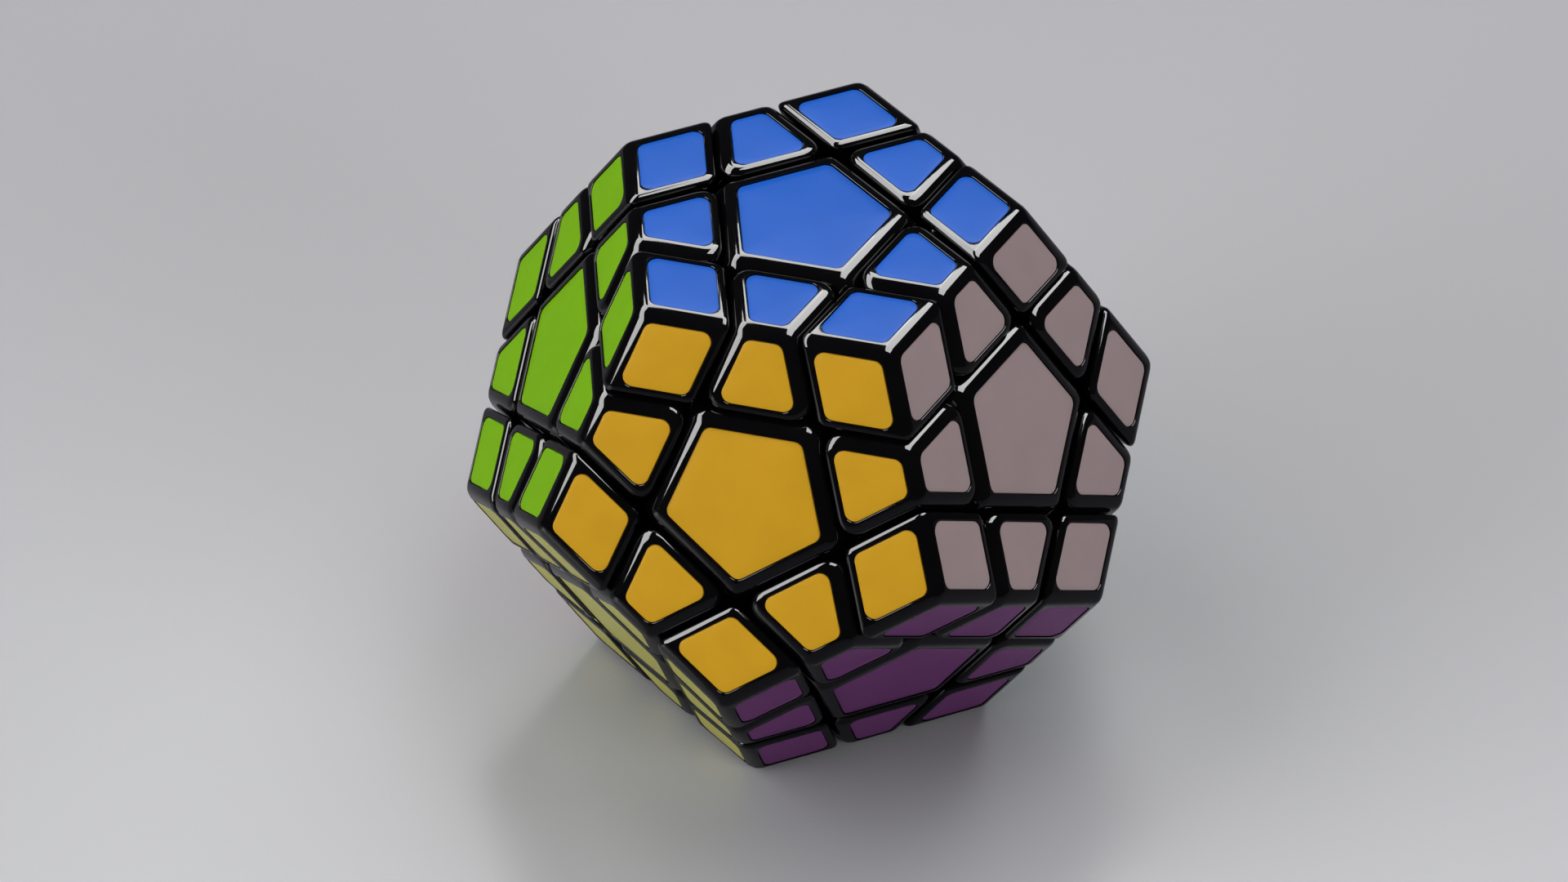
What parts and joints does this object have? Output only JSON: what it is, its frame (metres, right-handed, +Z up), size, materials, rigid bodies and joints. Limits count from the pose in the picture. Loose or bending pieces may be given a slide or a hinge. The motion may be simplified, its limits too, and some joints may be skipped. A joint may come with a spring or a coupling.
{
  "type": "dodecahedron twisty puzzle",
  "caption": "Dodecahedron twisty puzzle in glossy black plastic with coloured face tiles, whose face layers turn about a central core.",
  "frame": {"origin": "centre of the core, where the face axes meet", "axes": "+Z up through the middle of the top face, -Y towards the front face, +X to its right"},
  "size_m": [0.0946, 0.0994, 0.0812],
  "materials": {
    "black_plastic": "glossy black ABS",
    "steel": "plain zinc-plated steel",
    "tile_blue": "satin blue",
    "tile_yellow": "satin amber yellow",
    "tile_grey": "satin pinkish grey",
    "tile_green": "satin lime green",
    "tile_purple": "satin purple",
    "tile_cream": "satin pale yellow",
    "tile_orange": "satin orange",
    "tile_pink": "satin pink",
    "tile_teal": "satin dark teal",
    "tile_white": "satin white",
    "tile_red": "satin red",
    "tile_cyan": "satin light blue"
  },
  "bodies": {
    "core": {"core_with_fixed_centres": "black_plastic", "corner_cyan_teal_white": "black_plastic", "corner_grey_orange_teal": "black_plastic", "corner_orange_pink_white": "black_plastic", "corner_orange_teal_white": "black_plastic", "corner_yellow_cream_green": "black_plastic", "edge_cream_green": "black_plastic", "edge_cyan_cream": "black_plastic", "edge_cyan_teal": "black_plastic", "edge_cyan_white": "black_plastic", "edge_grey_orange": "black_plastic", "edge_grey_teal": "black_plastic", "edge_orange_pink": "black_plastic", "edge_orange_teal": "black_plastic", "edge_orange_white": "black_plastic", "edge_pink_green": "black_plastic", "edge_pink_white": "black_plastic", "edge_teal_white": "black_plastic", "edge_yellow_cream": "black_plastic", "edge_yellow_green": "black_plastic", "edge_yellow_grey": "black_plastic", "screw_blue": "steel", "screw_purple": "steel", "screw_red": "steel", "spring_blue": "steel", "spring_purple": "steel", "spring_red": "steel"},
    "layer_blue": {"centre_blue": "black_plastic", "corner_blue_grey_orange": "black_plastic", "corner_blue_orange_pink": "black_plastic", "corner_blue_pink_green": "black_plastic", "corner_blue_yellow_green": "black_plastic", "corner_blue_yellow_grey": "black_plastic", "edge_blue_green": "black_plastic", "edge_blue_grey": "black_plastic", "edge_blue_orange": "black_plastic", "edge_blue_pink": "black_plastic", "edge_blue_yellow": "black_plastic"},
    "layer_purple": {"centre_purple": "black_plastic", "corner_cyan_cream_purple": "black_plastic", "corner_cyan_purple_teal": "black_plastic", "corner_grey_purple_teal": "black_plastic", "corner_yellow_cream_purple": "black_plastic", "corner_yellow_grey_purple": "black_plastic", "edge_cream_purple": "black_plastic", "edge_cyan_purple": "black_plastic", "edge_grey_purple": "black_plastic", "edge_purple_teal": "black_plastic", "edge_yellow_purple": "black_plastic"},
    "layer_red": {"centre_red": "black_plastic", "corner_cream_green_red": "black_plastic", "corner_cyan_cream_red": "black_plastic", "corner_cyan_white_red": "black_plastic", "corner_pink_green_red": "black_plastic", "corner_pink_white_red": "black_plastic", "edge_cream_red": "black_plastic", "edge_cyan_red": "black_plastic", "edge_green_red": "black_plastic", "edge_pink_red": "black_plastic", "edge_white_red": "black_plastic"}
  },
  "joints": [
    {"name": "turn_blue", "type": "hinge", "parent": "core", "child": "layer_blue", "pos_m": [0, 0, 0], "axis": [0, 0, 1], "continuous": true},
    {"name": "turn_purple", "type": "hinge", "parent": "core", "child": "layer_purple", "pos_m": [0, 0, 0], "axis": [0.5257, -0.7236, -0.4472], "continuous": true},
    {"name": "turn_red", "type": "hinge", "parent": "core", "child": "layer_red", "pos_m": [0, 0, 0], "axis": [-0.8507, 0.2764, -0.4472], "continuous": true}
  ]
}
